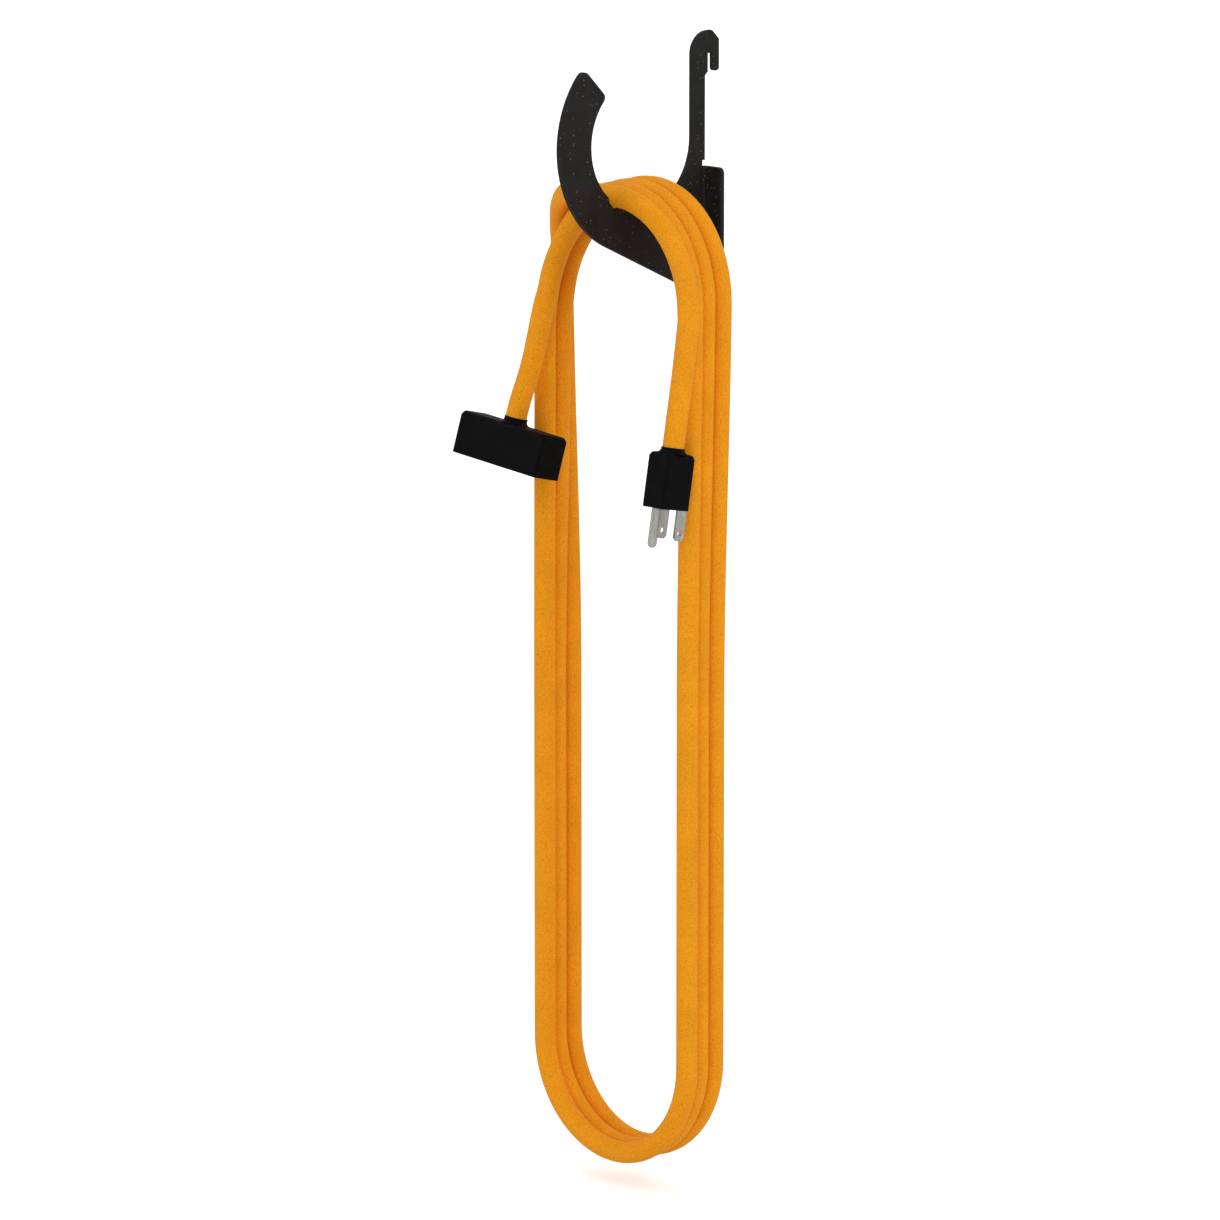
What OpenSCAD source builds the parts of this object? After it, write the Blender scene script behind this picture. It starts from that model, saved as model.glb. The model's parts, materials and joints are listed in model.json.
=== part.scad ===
// Heavy-duty three-outlet extension cord, coiled and hung on its sheet-steel panel hanger.
// Millimetres, +Z up, +Y towards the wall. The origin is on the hanger's middle plane, where
// the panel's front face meets the closed end of the hanger's slot.

/* [Hanger] */
// Thickness of the bent sheet
sheet_t = 2.5; // [2:0.1:3]
// Radius of the round opening that holds the cord
seat_r = 36; // [36:0.5:40]
// Width of the curved arm
arm_w = 22.4; // [14:0.2:26]
// Width of the straight spine
spine_w = 9.2; // [7:0.1:14]
// Gap between the spine's back edge and the panel
spine_gap = 2; // [1:0.1:3]
// Height of the slot's closed end above the centre of the round opening
spine_rise = 43; // [36:1:60]
// Width of the slot that drops over the panel's edge
slot_w = 3.6; // [2.5:0.1:5]
// Depth of the slot
slot_depth = 9.6; // [7:0.2:14]
// Width of the finger behind the panel
finger_w = 4.5; // [3.5:0.1:8]
// Radius of the rounded head above the spine
head_r = 12; // [10:0.5:14]
// Reach of the flange beyond the plate's middle plane
flange_w = 13.9; // [10:0.1:20]
// Height of the flange that rests on the panel
flange_h = 45; // [30:1:50]
// Drop from the centre of the round opening to the top of the flange
flange_drop = 16.3; // [12:0.1:22]
// Inside radius of the flange's bend
bend_r = 1.2; // [0.8:0.1:2]
// Play between the cord and the saddle
seat_gap = 0.3; // [0.2:0.05:1]

/* [Cord] */
// Outside diameter of the jacket
cord_d = 11.4; // [9.5:0.1:11.4]
// Diameter of one insulated conductor
wire_d = 3.3; // [2.6:0.1:3.4]

/* [Plug] */
// Width of the plug across its two blades
plug_w = 15.8; // [15.8:0.1:20]
// Depth of the plug from the ground pin to the blades
plug_d = 19.5; // [19.5:0.1:24]
// Height of the plug body
plug_h = 29; // [27:0.5:36]
// Wall of the plug body beside its cavity
plug_wall = 0.6; // [0.5:0.05:0.7]
// Thickness of the plug body's face
plug_face = 3; // [2:0.5:4]
// Height of the blade carrier
carrier_h = 7; // [5:0.5:7]
// Spacing of the two blades
blade_pitch = 12.7; // [12.7:0.1:12.7]
// Distance from the blades to the ground pin
ground_offset = 11.9; // [11.9:0.1:11.9]
// Thickness of a blade
blade_t = 1.5; // [1.4:0.1:1.5]
// Width of a blade
blade_w = 6.3; // [6:0.1:6.6]
// Length of a blade outside the plug
blade_l = 16; // [15:0.5:18]
// Diameter of the ground pin
pin_d = 4.8; // [4.6:0.1:4.8]
// Length of the ground pin outside the plug
pin_l = 20.8; // [18:0.2:21.5]

/* [Outlet block] */
// Length of the outlet block
block_l = 65; // [65:0.5:80]
// Depth of the outlet block
block_d = 18.4; // [18.4:0.2:24]
// Height of the outlet block
block_h = 23; // [22.5:0.5:30]
// Side wall of the block
block_wall = 1.2; // [1:0.1:1.2]
// Top wall of the block
block_top = 2; // [1.6:0.1:3]
// Thickness of the outlet cover
cover_t = 2.5; // [2:0.1:3.5]
// Distance from one outlet to the next
outlet_pitch = 20.5; // [19.5:0.1:20.5]
// Number of outlets
outlet_count = 3; // [1:1:3]
// Width of the line and neutral slots
slot_t = 2; // [1.8:0.1:2.2]
// Diameter of a ground hole
ground_hole_d = 5.2; // [5:0.1:5.2]
// Thickness of the contact strip
strip_t = 0.5; // [0.4:0.05:0.6]

/* [Fits] */
// Clearance around blades, pins and inserts
fit = 0.1; // [0.05:0.05:0.15]

/* [Hidden] */
$fn = 48;
eps = 0.01;

black_steel = [0.13, 0.13, 0.13];
black_vinyl = [0.07, 0.07, 0.07];
orange_vinyl = [0.9, 0.56, 0.12];
nickel = [0.62, 0.62, 0.6];
brass_col = [0.8, 0.62, 0.26];
phenolic = [0.35, 0.28, 0.2];

// ---- hanger, worked out from the sizes above ----
hook_y = -(spine_gap + spine_w + seat_r);
hook_z = -spine_rise;
arm_r = seat_r + arm_w;
tip_a = 138.7;        // angle of the arm's tip, anticlockwise from the wall side
tip_r = 4;            // rounding of the arm's tip
brow_r = 3;           // rounding of the arm's inner corner
web_slope = 0.5;      // fall of the plate's lower edge for each millimetre towards the wall
corner_r = 5;         // rounding of the plate's lower back corner
slot_foot = 2;        // chamfer where the slot's front wall runs out into the spine
finger_cut = 1.2;     // chamfer at the foot of the finger
head_cut = 5;         // chamfer on the back of the head
relief_h = 3.2;       // height of the notch above and below the flange
relief_d = 1.8;       // depth of that notch
flange_corner = 3;    // rounding of the flange's free corners
flange_top = hook_z - flange_drop;
flange_mid = flange_top - flange_h / 2;

// ---- route of the cord: round numbers, chosen by hand ----
turn_r = 55;          // radius of every turn's round ends
top_z = -70;          // the cord's centre line where it crosses the saddle
turn_z = top_z - turn_r;
foot_z = -526;        // centre of the lower round ends
lane = 11.7;          // from one strand to the next across the saddle
lane_y0 = -65;        // the strand nearest the tip of the arm
lane_dx = [0, -6, -8, -9];      // sideways lean of each strand over the saddle
leg_dx = [0, -9, -12, -12];     // and where its round end meets the straight leg
low_xy = [[0, -65], [-3.5, -53.9], [-4.1, -42.3]];  // the three turns lower down
quarter = turn_r * PI / 2;      // length of a quarter turn
// The strand that crosses over the others runs level first, then turns down on a wider arc
cross_run = 27;
cross_r = 52;
cross_from = 20;
cross_to = 108;
shift_from = 34;
shift_to = 112;
// Distances along a strand from the saddle, at which the tube has a ring
steps = [19, 38, 57, 76, 97, 150, 290];
end_steps = [19, 38, 57, 76];
foot_steps = 6;
// The two free ends, from the last of those rings down to the pieces that they enter
block_end = [[-55.2, -65.4, -134], [-58.3, -70.8, -163]];
plug_end = [[55, -65.4, -134], [55, -69.4, -160]];
block_at = [-62.5, -79.3, -195.5];
block_lean = [-13, 5.5, 0];
plug_at = [55, -76, -197.2];
plug_lean = [-10, 0, 0];
tube_sides = 10;

// ---- plug and block, worked out from the sizes above ----
collar_rim = 0.5;
collar_d = cord_d + 2 * collar_rim;
collar_fillet = 2.2;
sleeve_d = cord_d + 2.6;
plug_collar_h = 2.8;
plug_collar_in = 6;
block_collar_h = 3.5;
blade_y = 5.55;
pin_y = blade_y - ground_offset;
shoulder_r = 2.4;
edge_r = 1.5;
bay_z = -plug_h + plug_face + carrier_h;
barrel_d = 4.6;
barrel_h = 4;
barrel_x = blade_pitch / 2 + blade_t / 2 - barrel_d / 2;
hole_up = 11.7;
shank_d = pin_d - 0.4;   // the pin is a little thinner up to just outside the plug's face
shank_out = 0.6;
hole_d = 3;
wire_bore = wire_d + 2 * fit;
core_y = 4.4;
core_z = -9;
ledge_z = -11;
ledge_t = 2;
socket_wall = 0.85;
socket_d = ground_hole_d + fit;
cover_z = -block_h + cover_t;
contact_end = cover_z + 1;
line_y = blade_pitch / 2;
leaf_gap = 2 * (0.75 + fit / 2);
slot_x = -5.45;
hole_x = slot_x + ground_offset;
outlet_xs = [for (i = [0 : outlet_count - 1]) (i - (outlet_count - 1) / 2) * outlet_pitch];

// ---- helpers ----
function smooth(t) = let (u = min(1, max(0, t))) u * u * (3 - 2 * u);
function mix(a, b, t) = a + (b - a) * t;
function unit(v) = v / norm(v);
function arc(c, r, a0, a1, n) =
    [for (i = [0 : n]) let (a = mix(a0, a1, i / n)) c + r * [cos(a), sin(a)]];
function lean_x(v, a) = [v[0], v[1] * cos(a) - v[2] * sin(a), v[1] * sin(a) + v[2] * cos(a)];
function lean_y(v, a) = [v[0] * cos(a) + v[2] * sin(a), v[1], v[2] * cos(a) - v[0] * sin(a)];
function placed(v, at, lean) = at + lean_y(lean_x(v, lean[0]), lean[1]);

// A strand that slopes where it crosses the sheet is raised, so that it clears the sheet's edge
function slope(i) = (10 - lane_dx[i] / 2) / turn_r;
function lift(i) = turn_r - sqrt(turn_r * turn_r - lane_dx[i] * lane_dx[i])
    + slope(i) * sheet_t / 2 + cord_d / 2 * (sqrt(1 + slope(i) * slope(i)) - 1);
// A point on a round end and the leg below it: side is -1 or 1, s is the distance from the apex
function turn_point(side, s, x, y, up) =
    let (a = min(s, quarter) / turn_r * 180 / PI)
    [side * turn_r * sin(a) + x, y, turn_z + up + turn_r * cos(a) - max(0, s - quarter)];
function lowered(p, k, s) = mix(p, low_xy[k], smooth((s - 60) / 230));
function right_point(i, s) =
    let (top = [mix(lane_dx[i], leg_dx[i], smooth(s / 80)), lane_y0 + lane * i],
        p = i == 0 ? top : lowered(top, i - 1, s))
    turn_point(1, s, p[0], p[1], lift(i) * (1 - smooth(s / 80)));
// On the left each strand moves forward by one lane, to make room for the one that crosses
function left_point(i, s) =
    let (g = smooth((s - shift_from) / (shift_to - shift_from)),
        top = [mix(lane_dx[i], i == 1 ? leg_dx[0] : leg_dx[i], smooth(s / 80)),
            lane_y0 + lane * (i - g)],
        p = i == 1 ? top : lowered(top, i - 2, s - 10))
    turn_point(-1, s, p[0], p[1], lift(i) * (1 - smooth(s / 80)));
function cross_point(s) =
    let (a = min(max(s - cross_run, 0) / cross_r, PI / 2) * 180 / PI,
        over = max(0, s - cross_run - cross_r * PI / 2),
        x = -min(s, cross_run) - cross_r * sin(a),
        y = lane_y0 + 3 * lane * smooth((s - cross_from) / (cross_to - cross_from)),
        p = mix([x, y], [low_xy[2][0] - turn_r, low_xy[2][1]], smooth((s - 80) / 240)))
    [p[0], p[1], top_z - cross_r * (1 - cos(a)) - over + lift(0) * (1 - smooth(s / 80))];
function foot_point(k, a) =
    [low_xy[k][0] + turn_r * cos(a), low_xy[k][1], foot_z - turn_r * sin(a)];
function flipped(list) = [for (i = [len(list) - 1 : -1 : 0]) list[i]];

block_tail = placed([0, 0, -block_top], block_at, block_lean);
plug_tail = placed([0, 0, -plug_collar_in], plug_at, plug_lean);
route = concat(
    [block_tail, placed([0, 0, 14], block_at, block_lean)],
    flipped(block_end),
    [for (s = flipped(end_steps)) left_point(1, s)],
    [right_point(1, -lane_dx[1])],
    [for (k = [0 : 2]) each concat(
        [for (s = steps) right_point(k + 1, s)],
        [for (j = [0 : foot_steps]) foot_point(k, j * 180 / foot_steps)],
        [for (s = flipped(steps)) k == 2 ? cross_point(s) : left_point(k + 2, s)],
        [let (i = (k + 2) % 4) right_point(i, -lane_dx[i])])],
    [for (s = end_steps) right_point(0, s)],
    plug_end,
    [placed([0, 0, 12], plug_at, plug_lean), plug_tail]);

// A round tube swept along a list of points, its rings kept square to the path
module swept_tube(path, d, sides, side_dir) {
    n = len(path);
    rings = [for (i = [0 : n - 1])
        let (t = unit(path[min(i + 1, n - 1)] - path[max(i - 1, 0)]),
            b = unit(side_dir - (side_dir * t) * t),
            w = cross(t, b))
        for (j = [0 : sides - 1])
            let (a = (j + 0.5) * 360 / sides) path[i] + d / 2 * (b * cos(a) + w * sin(a))];
    walls = [for (i = [0 : n - 2], j = [0 : sides - 1])
        let (p = i * sides + j, q = i * sides + (j + 1) % sides)
        each [[p, p + sides, q], [q, p + sides, q + sides]]];
    ends = [[for (j = [0 : sides - 1]) j], [for (j = [sides - 1 : -1 : 0]) (n - 1) * sides + j]];
    polyhedron(rings, concat(walls, ends), convexity = 10);
}

module centred_box(x, y, z0, z1) {
    translate([-x / 2, -y / 2, z0])
        cube([x, y, z1 - z0]);
}

module in_plug() {
    translate(plug_at)
        rotate(plug_lean)
            children();
}

module in_block() {
    translate(block_at)
        rotate(block_lean)
            children();
}

// ---- hanger ----
// Outline of the plate, in the plane of the sheet, about the centre of the round opening
module plate_outline() {
    spine_x = seat_r + spine_w;
    wall_x = spine_x + spine_gap;
    web_n = unit([-web_slope, -1]);
    web_a = 180 + atan2(-web_n[1], -web_n[0]);
    web_at = arm_r * web_n;
    web_z = web_at[1] - web_slope * (spine_x - web_at[0]);
    tip_c = (arm_r - tip_r) * [cos(tip_a), sin(tip_a)];
    brow_off = (tip_c[0] + tip_c[1]) / sqrt(2) + tip_r - brow_r;
    brow_along = sqrt(pow(seat_r + brow_r, 2) - brow_off * brow_off);
    brow_c = (brow_off * [1, 1] + brow_along * [-1, 1]) / sqrt(2);
    brow_a = atan2(brow_c[1], brow_c[0]);
    head_x = seat_r + head_r;
    head_z = spine_rise;
    top = head_z + head_r;
    back_x = wall_x + slot_w + finger_w;
    flange_t = -flange_drop;
    flange_b = flange_t - flange_h;
    difference() {
        polygon(concat(
            arc([0, 0], arm_r, web_a, tip_a, 40),
            arc(tip_c, tip_r, tip_a, 45, 8),
            arc(brow_c, brow_r, 45, brow_a - 180, 8),
            arc([0, 0], seat_r, brow_a, 360, 72),
            arc([head_x, head_z], head_r, 180, 90, 14),
            [[back_x - head_cut, top], [back_x, top - head_cut],
                [back_x, -slot_depth + finger_cut + head_z],
                [back_x - finger_cut, head_z - slot_depth],
                [wall_x + slot_w + finger_cut, head_z - slot_depth],
                [wall_x + slot_w, head_z - slot_depth + finger_cut],
                [wall_x + slot_w, head_z], [wall_x, head_z],
                [wall_x, head_z - slot_depth],
                [spine_x, head_z - slot_depth - slot_foot],
                [spine_x, flange_t + relief_h], [spine_x - relief_d, flange_t + relief_h],
                [spine_x - relief_d, flange_t], [wall_x - sheet_t - bend_r, flange_t],
                [wall_x - sheet_t - bend_r, flange_b], [spine_x - relief_d, flange_b],
                [spine_x - relief_d, flange_b - relief_h], [spine_x, flange_b - relief_h]],
            arc([spine_x - corner_r, web_z + corner_r * 1.6], corner_r, 0, -63, 6)));
        saddle_cut();
    }
}

// The flat-bottomed seat, round where the first and last strands lie against its ends
module saddle_cut() {
    r = cord_d / 2 + seat_gap;
    first = lane_y0 - hook_y;
    last = first + 3 * lane;
    for (x = [first, last])
        translate([x, top_z - hook_z])
            circle(r);
    translate([first, top_z - hook_z - r])
        square([last - first, 2 * r]);
}

module flange_outline() {
    bend_x = -sheet_t / 2 + sheet_t + bend_r;
    c = flange_corner;
    translate([bend_x, flange_mid - flange_h / 2]) {
        square([flange_w - bend_x - c, flange_h]);
        translate([0, c])
            square([flange_w - bend_x, flange_h - 2 * c]);
        for (z = [c, flange_h - c])
            translate([flange_w - bend_x - c, z])
                circle(c);
    }
}

module hook_plate() {
    outer_r = sheet_t + bend_r;
    color(black_steel) {
        translate([-sheet_t / 2, hook_y, hook_z])
            rotate([90, 0, 90])
                linear_extrude(sheet_t)
                    plate_outline();
        rotate([90, 0, 0])
            linear_extrude(sheet_t)
                flange_outline();
        intersection() {
            translate([-sheet_t / 2 + outer_r, -outer_r, flange_mid - flange_h / 2])
                difference() {
                    cylinder(r = outer_r, h = flange_h);
                    translate([0, 0, -1])
                        cylinder(r = bend_r, h = flange_h + 2);
                }
            translate([-sheet_t / 2, -outer_r, flange_mid - flange_h / 2])
                cube([outer_r, outer_r, flange_h]);
        }
    }
}

// ---- cord ----
module cord_jacket() {
    color(orange_vinyl)
        swept_tube(route, cord_d, tube_sides, [0, 1, 0]);
}

// ---- moulded pieces ----
// A block with rounded upright edges and a softer upper edge; its lower edge stays sharp
module moulded_block(x, y, h, edge, top) {
    hull()
        for (sx = [-1, 1], sy = [-1, 1]) {
            translate([sx * (x / 2 - edge), sy * (y / 2 - edge), -h])
                cylinder(r = edge, h = h - top, $fn = 32);
            translate([sx * (x / 2 - top), sy * (y / 2 - top), -top])
                sphere(r = top, $fn = 32);
        }
}

// The ring that grips the jacket: a thin rim above the body, a fillet and a sleeve inside
module collar(up, down) {
    f = collar_fillet;
    rotate_extrude()
        polygon(concat(
            [[cord_d / 2 + fit / 2, -down], [sleeve_d / 2, -down], [sleeve_d / 2, 0]],
            [[collar_d / 2 + f, 0]],
            arc([collar_d / 2 + f, f], f, 255, 180, 6),
            [[collar_d / 2, up], [cord_d / 2 + fit / 2, up]]));
}

// ---- plug ----
module plug_body() {
    color(black_vinyl)
        in_plug()
            difference() {
                moulded_block(plug_w, plug_d, plug_h, edge_r, shoulder_r);
                translate([0, 0, -plug_collar_in])
                    cylinder(d = sleeve_d + fit, h = plug_collar_in + 1);
                centred_box(plug_w - 2 * plug_wall, plug_d - 2 * plug_wall,
                    -plug_h + plug_face, -plug_collar_in);
                for (sx = [-1, 1])
                    translate([sx * blade_pitch / 2, blade_y, 0])
                        centred_box(blade_t + fit, blade_w + fit, -plug_h - 1, -plug_h + plug_face + 1);
                translate([0, pin_y, -plug_h - 1])
                    cylinder(d = shank_d + fit, h = plug_face + 2);
            }
}

module plug_collar() {
    color(black_vinyl)
        in_plug()
            collar(plug_collar_h, plug_collar_in);
}

module blade_carrier() {
    color(phenolic)
        in_plug()
            difference() {
                centred_box(plug_w - 2 * plug_wall - fit, plug_d - 2 * plug_wall - fit,
                    -plug_h + plug_face, bay_z);
                for (sx = [-1, 1])
                    translate([sx * (blade_pitch / 2 + 1), blade_y, 0])
                        centred_box(blade_t + 2 + fit, blade_w + fit, -plug_h, 0);
                translate([0, pin_y, -plug_h])
                    cylinder(d = shank_d + fit, h = plug_h);
            }
}

module blade(side) {
    tip = 1.6;
    difference() {
        union() {
            translate([side * blade_pitch / 2, blade_y, 0])
                rotate([90, 0, 90])
                    translate([0, 0, -blade_t / 2])
                        linear_extrude(blade_t)
                            polygon([[-blade_w / 2, bay_z + barrel_h], [blade_w / 2, bay_z + barrel_h],
                                [blade_w / 2, -plug_h - blade_l + tip],
                                [blade_w / 2 - tip, -plug_h - blade_l],
                                [tip - blade_w / 2, -plug_h - blade_l],
                                [-blade_w / 2, -plug_h - blade_l + tip]]);
            translate([side * barrel_x, blade_y, bay_z])
                cylinder(d = barrel_d, h = barrel_h);
        }
        translate([side * barrel_x, blade_y, bay_z + 1])
            cylinder(d = wire_bore, h = barrel_h);
        translate([side * blade_pitch / 2 - blade_t, blade_y, -plug_h - hole_up])
            rotate([0, 90, 0])
                cylinder(d = hole_d, h = 2 * blade_t);
    }
}

module line_blade() {
    color(nickel)
        in_plug()
            blade(1);
}

module neutral_blade() {
    color(nickel)
        in_plug()
            blade(-1);
}

module ground_pin() {
    color(nickel)
        in_plug()
            translate([0, pin_y, 0])
                difference() {
                    union() {
                        translate([0, 0, -plug_h - shank_out])
                            cylinder(d = shank_d, h = bay_z + barrel_h + plug_h + shank_out);
                        translate([0, 0, -plug_h - pin_l + pin_d / 2])
                            cylinder(d = pin_d, h = pin_l - pin_d / 2 - shank_out);
                        translate([0, 0, -plug_h - pin_l + pin_d / 2])
                            sphere(d = pin_d);
                    }
                    translate([0, 0, bay_z + 1])
                        cylinder(d = wire_bore, h = barrel_h);
                }
}

// A conductor leaves the jacket's cut end straight, slants across and enters its terminal straight
module conductor(start, finish, z0, z1, z2) {
    lead = (z1 - z0) * 0.1;
    swept_tube([[start[0], start[1], z0],
            [start[0], start[1], z0 + lead],
            [finish[0], finish[1], z1 - lead],
            [finish[0], finish[1], z1],
            [finish[0], finish[1], z2]],
        wire_d, 12, [1, 0, 0]);
}

triad = 2.35;
function core_at(a) = triad * [cos(a), sin(a)];
wire_in = bay_z + barrel_h + 0.4;

module plug_line_wire() {
    color("black")
        in_plug()
            conductor(core_at(30), [barrel_x, blade_y], -plug_collar_in, wire_in, bay_z + 1.2);
}

module plug_neutral_wire() {
    color("white")
        in_plug()
            conductor(core_at(150), [-barrel_x, blade_y], -plug_collar_in, wire_in, bay_z + 1.2);
}

module plug_ground_wire() {
    color("green")
        in_plug()
            conductor(core_at(270), [0, pin_y], -plug_collar_in, wire_in, bay_z + 1.2);
}

// ---- outlet block ----
module block_shell() {
    color(black_vinyl)
        in_block()
            difference() {
                moulded_block(block_l, block_d, block_h, edge_r, shoulder_r);
                translate([0, 0, -block_top])
                    cylinder(d = sleeve_d + fit, h = block_top + 1);
                centred_box(block_l - 2 * block_wall, block_d - 2 * block_wall, -block_h - 1, -block_top);
            }
}

module outlet_cover() {
    color(black_vinyl)
        in_block()
            difference() {
                centred_box(block_l - 2 * block_wall - fit, block_d - 2 * block_wall - fit, -block_h, cover_z);
                for (x = outlet_xs) {
                    translate([x + slot_x, line_y, 0])
                        centred_box(blade_w + 0.9, slot_t, -block_h - 1, cover_z + 1);
                    translate([x + slot_x, -line_y, 0])
                        centred_box(blade_w + 2.3, slot_t, -block_h - 1, cover_z + 1);
                    translate([x + hole_x, 0, -block_h - 1])
                        cylinder(d = ground_hole_d, h = cover_t + 2);
                }
            }
}

module block_collar() {
    color(black_vinyl)
        in_block()
            collar(block_collar_h, block_top);
}

module contact_carrier() {
    ledge_y = block_d - 2 * block_wall - fit;
    color(phenolic)
        in_block()
            difference() {
                union() {
                    centred_box(block_l - 5, 2 * core_y, cover_z, core_z);
                    for (x = outlet_xs)
                        translate([x + hole_x, 0, 0])
                            centred_box(4, ledge_y, ledge_z - ledge_t, ledge_z);
                }
                for (x = outlet_xs)
                    translate([x + hole_x, 0, cover_z - 1])
                        cylinder(d = socket_d + 2 * socket_wall + 2 * fit, h = block_h);
            }
}

// A strip with a pair of spring leaves for each outlet's blade
module blade_bus(side) {
    leaf_out = leaf_gap / 2 + strip_t;
    reach = outlet_xs[outlet_count - 1] - outlet_xs[0];
    translate([0, side * line_y, 0]) {
        translate([slot_x + 3, 0, 0])
            centred_box(reach + 12, 2 * leaf_out, ledge_z, ledge_z + strip_t);
        for (x = outlet_xs, s = [-1, 1])
            translate([x + slot_x, s * (leaf_out - strip_t / 2), 0])
                centred_box(blade_w - 0.5, strip_t, contact_end, ledge_z + strip_t);
    }
}

module line_bus() {
    color(brass_col)
        in_block()
            blade_bus(1);
}

module neutral_bus() {
    color(brass_col)
        in_block()
            blade_bus(-1);
}

module ground_bus() {
    reach = outlet_xs[outlet_count - 1] - outlet_xs[0];
    socket_od = socket_d + 2 * socket_wall;
    color(brass_col)
        in_block()
            difference() {
                union() {
                    translate([hole_x, 0, 0])
                        centred_box(reach + socket_od, 5, core_z, core_z + strip_t);
                    for (x = outlet_xs)
                        translate([x + hole_x, 0, contact_end])
                            cylinder(d = socket_od, h = core_z + strip_t - contact_end);
                }
                for (x = outlet_xs)
                    translate([x + hole_x, 0, contact_end - 1])
                        cylinder(d = socket_d, h = block_h);
            }
}

module block_line_wire() {
    color("black")
        in_block()
            conductor(core_at(90), [0, line_y], -block_top, -block_top - 6.5, ledge_z + strip_t);
}

module block_neutral_wire() {
    color("white")
        in_block()
            conductor(core_at(210), [-4, -line_y], -block_top, -block_top - 6.5, ledge_z + strip_t);
}

module block_ground_wire() {
    color("green")
        in_block()
            conductor(core_at(330), [3, -0.6], -block_top, -block_top - 5.5, core_z + strip_t);
}

hook_plate();
cord_jacket();
plug_body();
plug_collar();
blade_carrier();
line_blade();
neutral_blade();
ground_pin();
plug_line_wire();
plug_neutral_wire();
plug_ground_wire();
block_shell();
outlet_cover();
block_collar();
contact_carrier();
line_bus();
neutral_bus();
ground_bus();
block_line_wire();
block_neutral_wire();
block_ground_wire();
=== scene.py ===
import json
import math
import bmesh
import bpy
from mathutils import Euler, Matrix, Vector


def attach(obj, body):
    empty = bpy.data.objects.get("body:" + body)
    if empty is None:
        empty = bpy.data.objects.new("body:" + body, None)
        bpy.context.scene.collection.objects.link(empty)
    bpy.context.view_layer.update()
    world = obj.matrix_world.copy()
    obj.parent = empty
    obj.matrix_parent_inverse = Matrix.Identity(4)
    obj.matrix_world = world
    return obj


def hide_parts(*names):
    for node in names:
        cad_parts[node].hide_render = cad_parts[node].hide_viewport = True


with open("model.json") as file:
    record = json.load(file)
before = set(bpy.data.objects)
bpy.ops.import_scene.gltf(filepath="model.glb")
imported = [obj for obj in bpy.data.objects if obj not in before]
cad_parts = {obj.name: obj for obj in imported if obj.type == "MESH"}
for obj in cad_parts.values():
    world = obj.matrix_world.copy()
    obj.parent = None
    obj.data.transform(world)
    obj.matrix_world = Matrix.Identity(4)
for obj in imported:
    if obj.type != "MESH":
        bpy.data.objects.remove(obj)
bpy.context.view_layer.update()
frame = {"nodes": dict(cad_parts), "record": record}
MM = 0.001

# ---------------------------------------------------------------- camera
CAMERA_AZIMUTH = 47.0
CAMERA_TILT = 10.523
CAMERA_LENS = 243.9
CAMERA_AT = Vector((3.1184, -2.9769, 0.5039))
SENSOR_WIDTH = 36.0
CLIP_END = 50.0

cam_data = bpy.data.cameras.new("camera")
cam_data.lens = CAMERA_LENS
cam_data.sensor_width = SENSOR_WIDTH
cam_data.clip_end = CLIP_END
cam = bpy.data.objects.new("camera", cam_data)
cam.location = CAMERA_AT
cam.rotation_euler = Euler((math.radians(90.0 - CAMERA_TILT), 0.0, math.radians(CAMERA_AZIMUTH)))
bpy.context.scene.collection.objects.link(cam)
bpy.context.scene.camera = cam
bpy.context.scene.view_settings.view_transform = "Standard"     # keeps the orange saturated

# ---------------------------------------------------------------- route of the cord, millimetres
# It is the route of the CAD jacket, in finer steps. A distance s is measured along a strand,
# from its apex over the saddle.
SHEET_T = 2.5           # the hanger's sheet
CORD_D = 11.4
TURN_R = 55.0           # radius of every turn's round ends
TOP_Z = -70.0           # the cord's centre line where it crosses the saddle
TURN_Z = TOP_Z - TURN_R
FOOT_Z = -526.0         # centre of the lower round ends
LANE = 11.7             # from one strand to the next across the saddle
LANE_Y0 = -65.0         # the strand nearest the tip of the arm
LANE_DX = (0.0, -6.0, -8.0, -9.0)       # sideways lean of each strand over the saddle
LEG_DX = (0.0, -9.0, -12.0, -12.0)      # and where its round end meets the straight leg
LEAN_SPAN = 80.0        # distance from the apex over which one turns into the other
LIFT_DX = 10.0          # sideways move at the apex, from which a strand's slope follows
LOW_XY = ((0.0, -65.0), (-3.5, -53.9), (-4.1, -42.3))   # the three turns lower down
LOW_FROM, LOW_SPAN = 60.0, 230.0        # s where a strand starts towards them, and over how far
LEFT_DELAY = 10.0       # on the left it starts this much later
QUARTER = TURN_R * math.pi / 2
LEG_END = QUARTER + TURN_Z - FOOT_Z
# The strand that crosses over the others runs level first, then turns down on another arc.
# It moves back across the lanes between the last two distances.
CROSS_RUN, CROSS_R, CROSS_FROM, CROSS_TO = 27.0, 52.0, 20.0, 108.0
CROSS_LOW_FROM, CROSS_LOW_SPAN = 80.0, 240.0
CROSS_END = CROSS_RUN + CROSS_R * math.pi / 2 + TOP_Z - CROSS_R - FOOT_Z
SHIFT_FROM, SHIFT_TO = 34.0, 112.0      # where the others move forward by one lane
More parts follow.
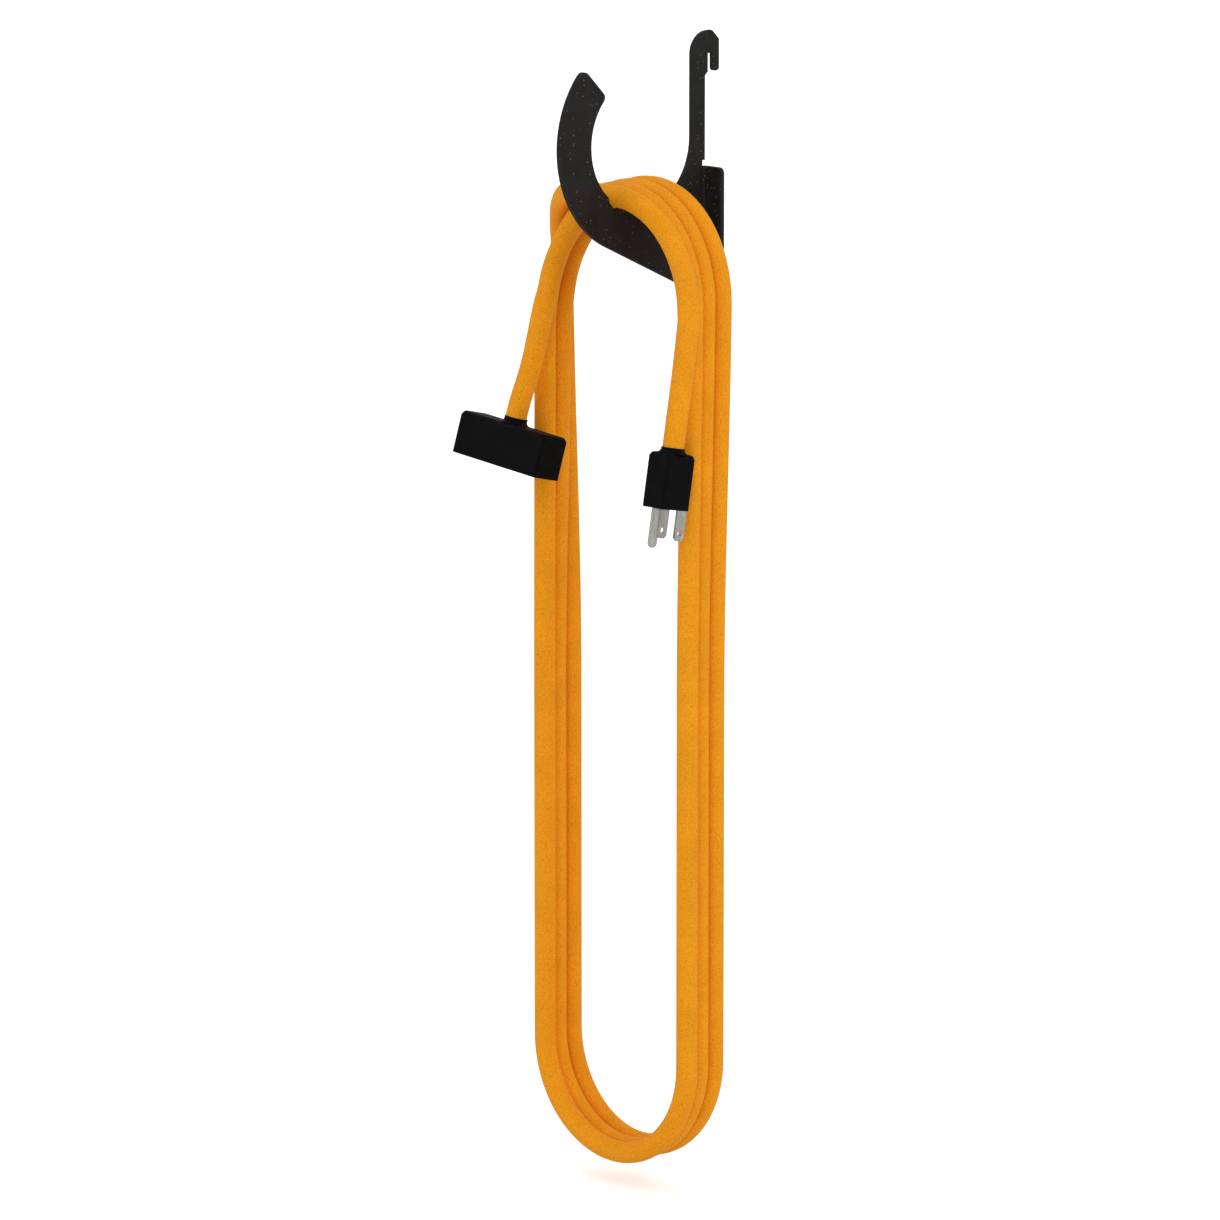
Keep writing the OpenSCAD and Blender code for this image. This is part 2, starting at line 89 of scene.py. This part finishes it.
# The two free ends, from a turn down to the pieces that they enter
LEAVE = 66.0            # s of the point on the turn that gives a free end its first slope
BLOCK_END = ((-55.2, -65.4, -134.0), (-58.3, -70.8, -163.0))
PLUG_END = ((55.0, -65.4, -134.0), (55.0, -69.4, -160.0))
BLOCK_AT, BLOCK_LEAN = Vector((-62.5, -79.3, -195.5)), (-13.0, 5.5, 0.0)
PLUG_AT, PLUG_LEAN = Vector((55.0, -76.0, -197.2)), (-10.0, 0.0, 0.0)
PLUG_COLLAR_IN = 6.0    # how far the jacket reaches into the plug
BLOCK_TOP = 2.0         # and into the block
NECK_UP, NECK_DOWN = 12.0, 14.0         # straight stretch above a piece, and past the jacket's end
STEP = 3.2              # from one ring of the mesh to the next


def smooth(t):
    u = min(1.0, max(0.0, t))
    return u * u * (3 - 2 * u)


def mix(a, b, t):
    return a + (b - a) * t


def placed(v, at, lean):
    return at + Euler([math.radians(a) for a in lean]).to_matrix() @ Vector(v)


def lift(i):
    """How much a strand that crosses the sheet at a slope is raised, to clear the sheet's edge."""
    slope = (LIFT_DX - LANE_DX[i] / 2) / TURN_R
    sag = TURN_R - math.sqrt(TURN_R ** 2 - LANE_DX[i] ** 2)
    return sag + slope * SHEET_T / 2 + CORD_D / 2 * (math.sqrt(1 + slope * slope) - 1)


def turn_point(side, s, x, y, up):
    """A point on a round end and the leg below it. s is the distance from the apex."""
    a = min(s, QUARTER) / TURN_R
    return Vector((side * TURN_R * math.sin(a) + x, y,
                   TURN_Z + up + TURN_R * math.cos(a) - max(0.0, s - QUARTER)))


def lowered(p, k, s):
    """Sideways place p, moved over to that of lower turn k as s grows."""
    t = smooth((s - LOW_FROM) / LOW_SPAN)
    return mix(p[0], LOW_XY[k][0], t), mix(p[1], LOW_XY[k][1], t)


def right_point(i, s):
    """A point of strand i on the right of the saddle."""
    p = (mix(LANE_DX[i], LEG_DX[i], smooth(s / LEAN_SPAN)), LANE_Y0 + LANE * i)
    if i:
        p = lowered(p, i - 1, s)
    return turn_point(1, s, p[0], p[1], lift(i) * (1 - smooth(s / LEAN_SPAN)))


def left_point(i, s):
    """On the left each strand moves forward by one lane, to make room for the one that crosses."""
    g = smooth((s - SHIFT_FROM) / (SHIFT_TO - SHIFT_FROM))
    to = LEG_DX[0] if i == 1 else LEG_DX[i]
    p = (mix(LANE_DX[i], to, smooth(s / LEAN_SPAN)), LANE_Y0 + LANE * (i - g))
    if i > 1:
        p = lowered(p, i - 2, s - LEFT_DELAY)
    return turn_point(-1, s, p[0], p[1], lift(i) * (1 - smooth(s / LEAN_SPAN)))


def cross_point(s):
    """A point on the left of strand 0, which crosses over the others from front to back."""
    a = min(max(s - CROSS_RUN, 0.0) / CROSS_R, math.pi / 2)
    over = max(0.0, s - CROSS_RUN - CROSS_R * math.pi / 2)
    t = smooth((s - CROSS_LOW_FROM) / CROSS_LOW_SPAN)
    x = mix(-min(s, CROSS_RUN) - CROSS_R * math.sin(a), LOW_XY[2][0] - TURN_R, t)
    y = LANE_Y0 + 3 * LANE * smooth((s - CROSS_FROM) / (CROSS_TO - CROSS_FROM))
    y = mix(y, LOW_XY[2][1], t)
    z = TOP_Z - CROSS_R * (1 - math.cos(a)) - over + lift(0) * (1 - smooth(s / LEAN_SPAN))
    return Vector((x, y, z))


def foot_point(k, a):
    """A point on a turn's lower round end, a radians round from its right side."""
    x, y = LOW_XY[k]
    return Vector((x + TURN_R * math.cos(a), y, FOOT_Z - TURN_R * math.sin(a)))


def run(f, start, end):
    """Points of f from start up to, but without, end."""
    n = max(2, round(abs(end - start) / STEP))
    return [f(mix(start, end, i / n)) for i in range(n)]


def eased(points):
    """A smooth line through the given points, in steps as fine as the turns'."""
    out = []
    for i in range(1, len(points) - 2):
        p0, p1, p2, p3 = points[i - 1:i + 3]
        n = max(2, round((p2 - p1).length / STEP))
        for j in range(n):
            t = j / n
            out.append(0.5 * (2 * p1 + (p2 - p0) * t + (2 * p0 - 5 * p1 + 4 * p2 - p3) * t * t
                              + (3 * p1 - p0 - 3 * p2 + p3) * t ** 3))
    return out


def free_end(turn, points, depth, at, lean):
    """From a turn's level point down to the end of the jacket, inside its plug or block."""
    axis = placed((0, 0, 1), at, lean) - at
    end = placed((0, 0, -depth), at, lean)
    pts = [turn(LEAVE), turn(QUARTER)] + [Vector(p) for p in points]
    pts += [placed((0, 0, NECK_UP), at, lean), end, end - axis * NECK_DOWN]
    return eased(pts) + [end]


block_run = free_end(lambda s: left_point(1, s), BLOCK_END, BLOCK_TOP, BLOCK_AT, BLOCK_LEAN)
plug_run = free_end(lambda s: right_point(0, s), PLUG_END, PLUG_COLLAR_IN, PLUG_AT, PLUG_LEAN)
route = block_run[::-1] + run(lambda s: left_point(1, s), QUARTER, 0.0)[1:]
for k in range(3):
    route += run(lambda s: right_point(k + 1, s), 0.0, LEG_END)
    route += run(lambda a: foot_point(k, a / TURN_R), 0.0, math.pi * TURN_R)
    if k < 2:
        route += run(lambda s: left_point(k + 2, s), LEG_END, 0.0)
    else:
        route += run(cross_point, CROSS_END, 0.0)
route += run(lambda s: right_point(0, s), 0.0, QUARTER) + plug_run
route = [p * MM for p in route]


def resampled(points, step):
    """The same line, with its points the same distance apart."""
    out, left = [points[0]], step
    for a, b in zip(points, points[1:]):
        d = (b - a).length
        while d > left:
            a = a + (b - a) * (left / d)
            d -= left
            out.append(a)
            left = step
        left -= d
    return out + [points[-1]]


route = resampled(route, STEP * MM)


# ---------------------------------------------------------------- helpers
def new_object(name, mesh):
    obj = bpy.data.objects.new(name, mesh)
    bpy.context.scene.collection.objects.link(obj)
    return obj


def swept(name, points, radius, sides, side_dir):
    """A tube along the points. Its UV runs round the tube and, in metres, along it."""
    bm = bmesh.new()
    uv = bm.loops.layers.uv.new("along")
    rings, dist = [], [0.0]
    for i, p in enumerate(points):
        t = (points[min(i + 1, len(points) - 1)] - points[max(i - 1, 0)]).normalized()
        b = (side_dir - side_dir.dot(t) * t).normalized()
        w = t.cross(b)
        if i:
            dist.append(dist[-1] + (p - points[i - 1]).length)
        rings.append([bm.verts.new(p + radius * (b * math.cos(a) + w * math.sin(a)))
                      for a in (2 * math.pi * j / sides for j in range(sides))])
    for i in range(len(rings) - 1):
        for j in range(sides):
            k = (j + 1) % sides
            f = bm.faces.new((rings[i][j], rings[i][k], rings[i + 1][k], rings[i + 1][j]))
            f.smooth = True
            for loop, (u, v) in zip(f.loops, ((j, i), (j + 1, i), (j + 1, i + 1), (j, i + 1))):
                loop[uv].uv = (u / sides, dist[v])
    bm.faces.new(rings[0][::-1])
    bm.faces.new(rings[-1])
    bmesh.ops.recalc_face_normals(bm, faces=bm.faces[:])
    mesh = bpy.data.meshes.new(name)
    bm.to_mesh(mesh)
    bm.free()
    return new_object(name, mesh)


class Nodes:
    """Builds a material's node tree, one call for each node."""

    def __init__(self, name):
        self.mat = bpy.data.materials.new(name)
        self.mat.use_nodes = True
        self.tree = self.mat.node_tree
        self.bsdf = self.tree.nodes["Principled BSDF"]

    def add(self, kind, **values):
        node = self.tree.nodes.new(kind)
        for key, value in values.items():
            if key in node.inputs:
                if isinstance(value, bpy.types.NodeSocket):
                    self.tree.links.new(value, node.inputs[key])
                else:
                    node.inputs[key].default_value = value
            else:
                setattr(node, key, value)
        return node

    def link(self, out, socket):
        self.tree.links.new(out, self.bsdf.inputs[socket])

    def put(self, **values):
        for key, value in values.items():
            self.bsdf.inputs[key.replace("_", " ")].default_value = value

    def noise(self, scale, detail=2.0, rough=0.5, coords=None):
        node = self.add("ShaderNodeTexNoise")
        node.inputs["Scale"].default_value = scale
        node.inputs["Detail"].default_value = detail
        node.inputs["Roughness"].default_value = rough
        self.tree.links.new((coords or self.coords()), node.inputs["Vector"])
        return node.outputs["Fac"]

    def coords(self):
        if not hasattr(self, "_coords"):
            self._coords = self.add("ShaderNodeTexCoord").outputs["Object"]
        return self._coords

    def ramp(self, fac, *stops):
        node = self.add("ShaderNodeValToRGB")
        self.tree.links.new(fac, node.inputs["Fac"])
        ramp = node.color_ramp
        while len(ramp.elements) < len(stops):
            ramp.elements.new(0.5)
        for element, (at, colour) in zip(ramp.elements, stops):
            element.position = at
            element.color = colour if hasattr(colour, "__len__") else (colour, colour, colour, 1.0)
        return node.outputs["Color"]

    def mixed(self, fac, a, b, mode="MIX"):
        node = self.add("ShaderNodeMix", data_type="RGBA", blend_type=mode)
        for socket, value in ((node.inputs[0], fac), (node.inputs[6], a), (node.inputs[7], b)):
            if isinstance(value, bpy.types.NodeSocket):
                self.tree.links.new(value, socket)
            else:
                socket.default_value = value
        return node.outputs[2]

    def bump(self, height, strength, distance):
        node = self.add("ShaderNodeBump")
        node.inputs["Strength"].default_value = strength
        node.inputs["Distance"].default_value = distance
        self.tree.links.new(height, node.inputs["Height"])
        return node.outputs["Normal"]


def rgb(r, g, b):
    """A colour given as 0 to 255 on screen, in the linear values that nodes use."""
    lin = [(c / 255 / 12.92) if c <= 10 else ((c / 255 + 0.055) / 1.055) ** 2.4 for c in (r, g, b)]
    return (*lin, 1.0)


# ---------------------------------------------------------------- materials
def vinyl_jacket():
    m = Nodes("orange_jacket")
    fine = m.noise(1500.0, 3.0, 0.7)
    patch = m.noise(60.0, 3.0, 0.5)
    base = m.ramp(patch, (0.3, (0.87, 0.320, 0.006, 1.0)), (0.7, (0.95, 0.355, 0.009, 1.0)))
    # Painted shade: the darker grain and the dark brown specks below copy the grainy look of
    # shaded strands, spread evenly over the cord.
    grain = m.ramp(fine, (0.32, 0.64), (0.48, 0.90), (0.62, 1.0))
    shade_speckle = m.ramp(m.noise(900.0, 2.0, 0.7), (0.56, 0.0), (0.70, 0.30))
    colour = m.mixed(shade_speckle, m.mixed(1.0, base, grain, "MULTIPLY"), (0.42, 0.14, 0.012, 1.0))
    m.link(colour, "Base Color")
    rough = m.ramp(patch, (0.3, 0.60), (0.7, 0.72))
    m.link(rough, "Roughness")
    m.put(IOR=1.45, Specular_IOR_Level=0.12)
    m.link(m.bump(fine, 0.5, 0.00015), "Normal")
    return m.mat


def powder_coat():
    m = Nodes("powder_coat")
    speck = m.add("ShaderNodeTexVoronoi", feature="F1")
    speck.inputs["Scale"].default_value = 430.0
    m.tree.links.new(m.coords(), speck.inputs["Vector"])
    dot = m.ramp(speck.outputs["Distance"], (0.0, 1.0), (0.15, 1.0), (0.20, 0.0))
    pick = m.ramp(speck.outputs["Color"], (0.56, 0.0), (0.62, 1.0))
    flake = m.mixed(1.0, dot, pick, "MULTIPLY")
    patch = m.noise(90.0, 4.0, 0.6)
    base = m.ramp(patch, (0.3, rgb(23, 22, 21)), (0.7, rgb(34, 33, 32)))
    colour = m.mixed(flake, base, rgb(84, 82, 78))
    m.link(colour, "Base Color")
    m.link(m.ramp(patch, (0.3, 0.55), (0.7, 0.68)), "Roughness")
    m.put(Specular_IOR_Level=0.14)
    peel = m.noise(900.0, 2.0, 0.5)
    m.link(m.bump(peel, 0.3, 0.0002), "Normal")
    return m.mat


def black_vinyl():
    m = Nodes("black_vinyl")
    grain = m.noise(1700.0, 3.0, 0.6)
    patch = m.noise(70.0, 3.0, 0.5)
    m.link(m.ramp(patch, (0.3, rgb(3, 3, 3)), (0.7, rgb(6, 6, 6))), "Base Color")
    m.link(m.ramp(grain, (0.3, 0.55), (0.7, 0.7)), "Roughness")
    m.put(Specular_IOR_Level=0.06)
    m.link(m.bump(grain, 0.2, 0.0001), "Normal")
    return m.mat


def drawn_metal(name, low, high, axis_scale):
    """Lines along the direction in which axis_scale is smallest."""
    m = Nodes(name)
    stretch = m.add("ShaderNodeMapping")
    m.tree.links.new(m.coords(), stretch.inputs["Vector"])
    stretch.inputs["Scale"].default_value = axis_scale
    lines = m.noise(1.0, 3.0, 0.6, stretch.outputs["Vector"])
    patch = m.noise(220.0, 3.0, 0.6)
    base = m.ramp(lines, (0.3, low), (0.7, high))
    worn = m.ramp(patch, (0.35, 0.86), (0.65, 1.0))
    m.link(m.mixed(1.0, base, worn, "MULTIPLY"), "Base Color")
    m.link(m.ramp(lines, (0.3, 0.32), (0.7, 0.46)), "Roughness")
    m.put(Metallic=1.0)
    m.link(m.bump(lines, 0.15, 0.0001), "Normal")
    return m.mat


def moulded(name, low, high, rough=0.5):
    m = Nodes(name)
    patch = m.noise(400.0, 3.0, 0.5)
    m.link(m.ramp(patch, (0.3, low), (0.7, high)), "Base Color")
    m.link(m.ramp(patch, (0.3, rough - 0.06), (0.7, rough + 0.06)), "Roughness")
    m.link(m.bump(patch, 0.15, 0.0001), "Normal")
    return m.mat


MATERIALS = {
    "orange_jacket": vinyl_jacket(),
    "powder_coat": powder_coat(),
    "black_vinyl": black_vinyl(),
    "nickel": drawn_metal("nickel", rgb(156, 155, 152), rgb(188, 187, 184), (900, 900, 60)),
    "contact_brass": drawn_metal("contact_brass", rgb(196, 158, 74), rgb(214, 178, 92),
                                 (60, 900, 900)),
    "carrier_resin": moulded("carrier_resin", rgb(80, 62, 44), rgb(98, 76, 54)),
    "wire_black": moulded("wire_black", rgb(14, 14, 14), rgb(20, 20, 20), 0.4),
    "wire_white": moulded("wire_white", rgb(224, 223, 216), rgb(236, 235, 229), 0.4),
    "wire_green": moulded("wire_green", rgb(22, 112, 52), rgb(30, 128, 62), 0.4),
}

for part in frame["record"]["subparts"]:
    obj = frame["nodes"][part["node"]]
    obj.data.materials.clear()
    obj.data.materials.append(MATERIALS[part["material_slot"]])

# ---------------------------------------------------------------- the cord
CORD_SIDES = 24
cord = swept("cord", route, CORD_D / 2 * MM, CORD_SIDES, Vector((0, 1, 0)))
cord.data.materials.append(MATERIALS["orange_jacket"])
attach(cord, "cord_set")
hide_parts("cord_jacket")

# ---------------------------------------------------------------- floor, backdrop and light
FLOOR_Z = -0.60
FLOOR_NEAR, FLOOR_FAR = -6.0, 3.0
SWEEP_R = 1.5           # the curve from the floor up to the wall
SWEEP_STEPS = 16
WALL_TOP = 6.0
HALF_WIDTH = 9.0
BACKDROP_GLOW = 0.4     # lifts the backdrop to white for the camera, without lighting the object
WORLD_STRENGTH = 0.92
KEY_AT, KEY_AIM = (3.2, -1.4, 2.0), (0, 0, -0.3)
KEY_SIZE, KEY_POWER = (1.6, 1.6), 20.0


def backdrop():
    """A pale floor that curves up into a wall, far behind the object."""
    bm = bmesh.new()
    profile = [(FLOOR_NEAR, 0.0), (FLOOR_FAR, 0.0)]
    profile += [(FLOOR_FAR + SWEEP_R * math.sin(a), SWEEP_R - SWEEP_R * math.cos(a))
                for a in (math.pi / 2 * i / SWEEP_STEPS for i in range(1, SWEEP_STEPS + 1))]
    profile.append((FLOOR_FAR + SWEEP_R, WALL_TOP))
    turn = math.radians(CAMERA_AZIMUTH)
    rows = []
    for x in (-HALF_WIDTH, HALF_WIDTH):
        rows.append([bm.verts.new((x * math.cos(turn) - y * math.sin(turn),
                                   x * math.sin(turn) + y * math.cos(turn), FLOOR_Z + z))
                     for y, z in profile])
    for i in range(len(profile) - 1):
        f = bm.faces.new((rows[0][i], rows[1][i], rows[1][i + 1], rows[0][i + 1]))
        f.smooth = True
    mesh = bpy.data.meshes.new("backdrop")
    bm.to_mesh(mesh)
    bm.free()
    obj = new_object("backdrop", mesh)
    m = Nodes("backdrop")
    m.put(Base_Color=(0.93, 0.93, 0.93, 1.0), Roughness=0.9, Specular_IOR_Level=0.1)
    seen = m.add("ShaderNodeLightPath").outputs["Is Camera Ray"]
    glow = m.add("ShaderNodeMath", operation="MULTIPLY")
    glow.inputs[1].default_value = BACKDROP_GLOW
    m.tree.links.new(seen, glow.inputs[0])
    m.put(Emission_Color=(1.0, 1.0, 1.0, 1.0))
    m.link(glow.outputs[0], "Emission Strength")
    obj.data.materials.append(m.mat)


backdrop()

world = bpy.data.worlds.new("studio")
world.use_nodes = True
world.node_tree.nodes["Background"].inputs["Color"].default_value = (1.0, 1.0, 1.0, 1.0)
world.node_tree.nodes["Background"].inputs["Strength"].default_value = WORLD_STRENGTH
bpy.context.scene.world = world


def area_light(name, at, aim, size, power):
    data = bpy.data.lights.new(name, "AREA")
    data.shape = "RECTANGLE"
    data.size, data.size_y = size
    data.energy = power
    obj = bpy.data.objects.new(name, data)
    obj.location = at
    obj.rotation_euler = (Vector(aim) - Vector(at)).to_track_quat("-Z", "Y").to_euler()
    bpy.context.scene.collection.objects.link(obj)


area_light("key", KEY_AT, KEY_AIM, KEY_SIZE, KEY_POWER)
